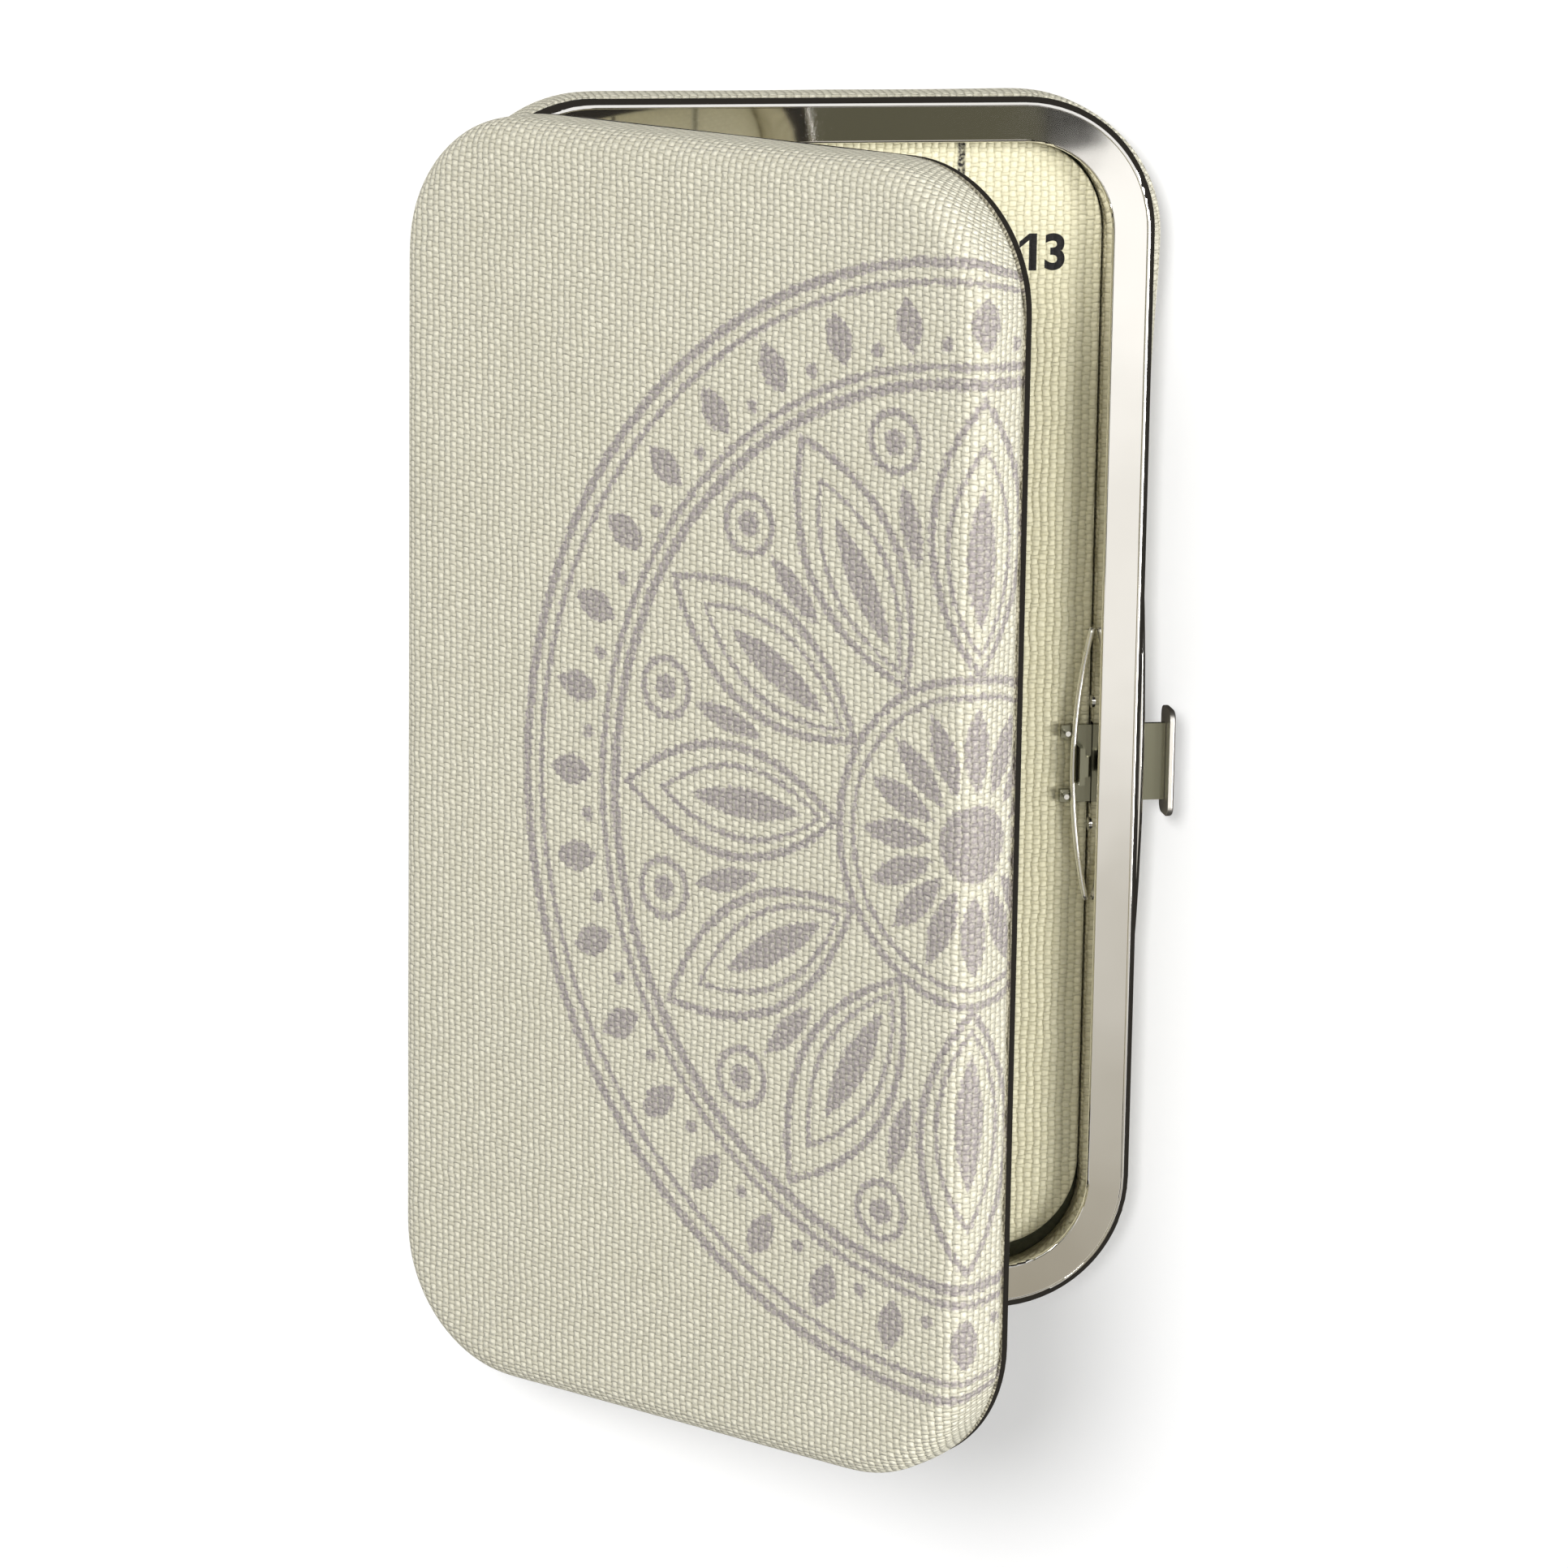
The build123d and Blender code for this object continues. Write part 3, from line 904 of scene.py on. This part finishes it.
# %% [markdown]
# ## Covers
# The back of each half is linen over a thin padding, glued to a hard shell. It lies flat, rolls round the
# edge, bulges a little past the steel rim and tucks in under it. The padding makes the sides soft, so
# they get small dents. On the base it bulges most at the top right corner, and the latch bar slides out
# through a slot in it.

# %% Shape the cover's edge
cover_bulge = 0.3 * MM
back_radius = 3.0 * MM
front_radius = 1.2 * MM
front_top = 7.72 * MM
tuck_rise = 0.04 * MM
tuck_top = 7.95 * MM
tuck_start = 0.65 * MM
tuck_end = 0.8 * MM
dent_scale = 55.0
dent_depth = 0.16 * MM
dent_share = 0.4
corner_swell = 1.1 * MM
corner_reach = 14 * MM


def cover_profile():
    side = rim_corner + cover_bulge
    flat = [(side - back_radius - 2 * cloth_spacing * step, 0.0) for step in (2, 1)]
    back = arc((side - back_radius, back_radius), back_radius, -90, 0, 6)
    front = arc((side - front_radius, front_top - front_radius), front_radius, 0, 90, 4)
    tuck = [(rim_corner - tuck_start, front_top + tuck_rise), (rim_corner - tuck_end, tuck_top)]
    return [(0.0, 0.0)] + flat + back + front + tuck


def dent(bm, flat):
    """Presses soft dents into the sides, inwards only, and leaves the flat back on its plane."""
    for point in bm.verts:
        height = point.co.z
        share = max(0.0, min(1.0, height / back_radius))
        if share and height < front_top - weld_distance:
            hollow = max(0.0, noise.noise(Vector(point[flat]) * dent_scale) + dent_share)
            aside = Vector((point.co.x, point.co.y, 0)).normalized()
            point.co -= aside * dent_depth * share * hollow


def swell_corner(bm):
    """Bulges the base's cover just below its top right corner, most right under the rim."""
    lip = front_top - front_radius
    for point in bm.verts:
        height = point.co.z
        share = height / lip if height < lip else max(0.0, (front_top - height) / front_radius)
        aside = (point.co.x - core_half_width) / rim_corner
        if share and aside > 0:
            along = (point.co.y - core_half_length) / corner_reach
            point.co.x += corner_swell * share * math.exp(-along * along) * aside


print("cover's edge, steps", len(cover_profile()))

# %% Make the two covers
bar_low, bar_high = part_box("latch_bar")
bar_margin = 0.3 * MM
bar_thickness = 0.6 * MM
slot_surroundings = 16 * MM
cloth_depth = 0.9 * MM
cover_corner_steps = 12


def cut_bar_slot(bm):
    """Opens the cover's side where the latch bar slides through."""
    slot_low = bar_low.z - bar_margin
    slot_high = bar_low.z + bar_thickness + bar_margin
    slot_start = bar_low.y - bar_margin
    slot_end = bar_high.y + bar_margin
    cuts = [((0, 0, height), (0, 0, 1)) for height in (slot_low, slot_high)]
    cuts += [((0, along, 0), (0, 1, 0)) for along in (slot_start, slot_end)]
    for place, normal in cuts:
        near = [face for face in bm.faces if face.calc_center_median().x > rim_half_width]
        near = [face for face in near if abs(face.calc_center_median().y - bar_low.y) < slot_surroundings]
        geometry = set(near)
        for face in near:
            geometry.update(face.edges, face.verts)
        bmesh.ops.bisect_plane(bm, geom=list(geometry), plane_co=place, plane_no=normal)
    inside = []
    for face in bm.faces:
        middle = face.calc_center_median()
        within = slot_low < middle.z < slot_high and slot_start < middle.y < slot_end
        if middle.x > rim_half_width and within:
            inside.append(face)
    bmesh.ops.delete(bm, geom=inside, context="FACES")
    print("bar slot: faces opened", len(inside))


def make_cover(name, material, body):
    bm, flat = rounded_sheet((core_half_width, core_half_length), cover_profile(), cover_corner_steps)
    dent(bm, flat)
    turn_faces(bm, upward=False)
    if body == "base":
        swell_corner(bm)
        cut_bar_slot(bm)
    piece = write_piece(name, bm, flat, material, body)
    thicken(piece, cloth_depth)
    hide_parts(name.replace("_linen", ""))
    return piece


base_cover = make_cover("base_cover_linen", plain_linen, "base")
lid_cover = make_cover("lid_cover_linen", printed_linen, "lid")
print("covers", len(base_cover.data.polygons), len(lid_cover.data.polygons))

# %% [markdown]
# ## Pads
# A pad is linen drawn over card and a magnetic sheet and turned down at the sides. It is flat on top,
# because the card behind it is, and its edge rolls over softly. The cloth at the sides is a little fuller
# than the plain solid, so that hardly a gap shows between pad and rim.

# %% Make the two pads
pad_fullness = 0.18 * MM
pad_half_width = pad_high.x + pad_fullness
pad_corner = rim_corner - (rim_half_width - pad_half_width)
pad_middle = (pad_low.y + pad_high.y) / 2
pad_half_length = (pad_high.y - pad_low.y) / 2 + pad_fullness
pad_roll = 0.45 * MM
pad_hem = 0.02 * MM
pad_cloth_depth = 0.42 * MM
pad_flat_edges = (3.0 * MM, 1.6 * MM)
pad_corner_steps = 10


def make_pad(name, body):
    core = (pad_half_width - pad_corner, pad_half_length - pad_corner)
    top = pad_high.z
    flat_part = [(0.0, top)] + [(pad_corner - edge, top) for edge in pad_flat_edges]
    roll = arc((pad_corner - pad_roll, top - pad_roll), pad_roll, 90, 0, 4)
    side = [(pad_corner, pad_low.z + pad_hem)]
    bm, flat = rounded_sheet(core, flat_part + roll + side, pad_corner_steps)
    shift = Vector((0, pad_middle, 0))
    bmesh.ops.translate(bm, vec=shift, verts=bm.verts)
    for point in bm.verts:
        point[flat] = Vector(point[flat]) + shift
    turn_faces(bm, upward=True)
    piece = write_piece(name, bm, flat, pad_cloth, body)
    thicken(piece, pad_cloth_depth)
    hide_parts(name.replace("_cloth", ""))
    return piece


base_pad = make_pad("base_pad_cloth", "base")
lid_pad = make_pad("lid_pad_cloth", "lid")
print("pads", len(base_pad.data.polygons), len(lid_pad.data.polygons))

# %% [markdown]
# ## Numbers
# Each column has a plain number at its head, for the needles' sizes. They are printed, so they are cut
# from the built-in letters, made a mesh and laid a hair above the cloth, and the ink takes the cloth's
# own weave, with painted shade in its gaps. The built-in 1 is a bare bar, so it gets a slanted flag, and
# the 9 is a 6 turned half round, because the built-in 9 loses faces when it is made bolder.

# %% Cut the digits
number_boldness = 0.03
flag_width = 0.27
flag_drop = 0.22
flag_thickness = 0.18


def letter_mesh(digit):
    curve = bpy.data.curves.new(f"digit_{digit}", "FONT")
    curve.body = "6" if digit == "9" else digit
    curve.offset = number_boldness
    text = add_object(f"digit_{digit}", curve)
    bpy.context.view_layer.update()
    mesh = bpy.data.meshes.new_from_object(text.evaluated_get(bpy.context.evaluated_depsgraph_get()))
    bpy.data.objects.remove(text)
    return mesh


def add_flag(bm, right_end):
    """The slanted stroke of a 1, which ends at the bar's left side."""
    flag = bmesh.ops.create_grid(bm, x_segments=1, y_segments=1, size=0.5)["verts"]
    across = right_end - flag_width / 2
    upwards = 1.0 - (flag_drop + flag_thickness) / 2
    slant = Matrix((
        (flag_width, 0, 0, across),
        (flag_drop, flag_thickness, 0, upwards),
        (0, 0, 1, 0),
        (0, 0, 0, 1),
    ))
    bmesh.ops.transform(bm, matrix=slant, verts=flag)


def add_digit(bm, digit, shift):
    """Adds a digit that is 1 high and centred on this shift."""
    start = len(bm.verts)
    bm.from_mesh(letter_mesh(digit))
    bm.verts.ensure_lookup_table()
    points = bm.verts[start:]
    left, right = (limit(point.co.x for point in points) for limit in (min, max))
    low, high = (limit(point.co.y for point in points) for limit in (min, max))
    scale = 1.0 / (high - low)
    turn = Matrix.Rotation(math.pi if digit == "9" else 0.0, 4, "Z")
    place = Matrix.Translation((shift, 0.5, 0)) @ turn @ Matrix.Scale(scale, 4)
    middle = Vector(((left + right) / 2, (low + high) / 2, 0))
    bmesh.ops.transform(bm, matrix=place @ Matrix.Translation(-middle), verts=points)
    if digit == "1":
        add_flag(bm, shift - (right - left) * scale / 2)


print("boldness of the digits", number_boldness)

# %% Print the numbers
number_height = 4.2 * MM
number_middle = 52.5 * MM
number_aside = 9.7 * MM
number_lift = 0.015 * MM
# Painted shade: the digits' darker colour for the weave's gaps.
number_gap_shade = linear(14, 12, 14)
digit_advance = 0.60
digit_weld = 0.002 * MM
number_ink = linen("number_ink", line_ink, number_gap_shade, pad_weave, pad_relief)


def print_number(label, column, body):
    """A number at a column's head. The lid's are laid the other way round, as it is mirrored up."""
    bm = bmesh.new()
    for index, digit in enumerate(label):
        add_digit(bm, digit, (index - (len(label) - 1) / 2) * digit_advance)
    flat = bm.verts.layers.float_vector.new("flat")
    aside, side = (column_width - number_aside, -1) if body == "lid" else (number_aside, 1)
    middle = (column - 2) * column_width + aside
    for point in bm.verts:
        across = side * point.co.x * number_height + middle
        along = (point.co.y - 0.5) * number_height + number_middle
        point.co = Vector((across, along, pad_high.z + number_lift))
        point[flat] = (across, along, 0)
    bmesh.ops.remove_doubles(bm, verts=bm.verts[:], dist=digit_weld)
    bmesh.ops.recalc_face_normals(bm, faces=bm.faces[:])
    downward = [face for face in bm.faces if face.normal.z < 0]
    bmesh.ops.reverse_faces(bm, faces=downward)
    write_piece(f"number_{label}", bm, flat, number_ink, body)


for body, labels in {"base": ("10", "11", "12", "13"), "lid": ("9", "8", "7", "6")}.items():
    for column, label in enumerate(labels):
        print_number(label, column, body)
    print("numbers on the", body, labels)

# %% [markdown]
# ## Spring
# A bowed wire holds the latch out. Its ends rest against the rim's wall and its middle is pushed in by
# the latch's pegs, so in use the wire bends as the latch moves. Here it is bent once, in its resting bow,
# and the whole wire rides on the base.

# %% Bend the latch spring
spring_low, spring_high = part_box("latch_spring")
wire_radius = (spring_high.z - spring_low.z) / 2
wire_end_share = 0.2
wire_steps = 48
wire_sides = 12


def spin_wire(center, radius, sweep):
    """Spins a round section about the bow's centre, and closes both ends."""
    bm = bmesh.new()
    bmesh.ops.create_circle(bm, segments=wire_sides, radius=wire_radius, cap_ends=False)
    start = Matrix.Translation(center) @ Matrix.Rotation(sweep / 2, 4, "Z")
    start = start @ Matrix.Translation((-radius, 0, 0)) @ Matrix.Rotation(math.pi / 2, 4, "X")
    bmesh.ops.transform(bm, matrix=start, verts=bm.verts)
    bmesh.ops.spin(
        bm, geom=bm.edges[:], cent=center, axis=(0, 0, 1), angle=-sweep, steps=wire_steps, use_merge=False
    )
    bmesh.ops.holes_fill(bm, edges=bm.edges[:], sides=wire_sides)
    bmesh.ops.recalc_face_normals(bm, faces=bm.faces[:])
    for face in bm.faces:
        face.smooth = len(face.verts) == 4
    return bm


def bend_spring():
    middle_x = spring_low.x + wire_radius
    end_x = spring_high.x - wire_radius
    half = (spring_high.y - spring_low.y) / 2 - wire_radius * wire_end_share
    bow = end_x - middle_x
    radius = (half * half + bow * bow) / (2 * bow)
    middle = (spring_low + spring_high) / 2
    center = Vector((middle_x + radius, middle.y, middle.z))
    bm = spin_wire(center, radius, 2 * math.asin(half / radius))
    piece = add_mesh("latch_spring_wire", bm, finishes["spring_wire"])
    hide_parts("latch_spring")
    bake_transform(piece)
    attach(piece, "base")
    print("spring bow, mm", round(bow / MM, 2), "wire, mm", round(2 * wire_radius / MM, 2))


bend_spring()
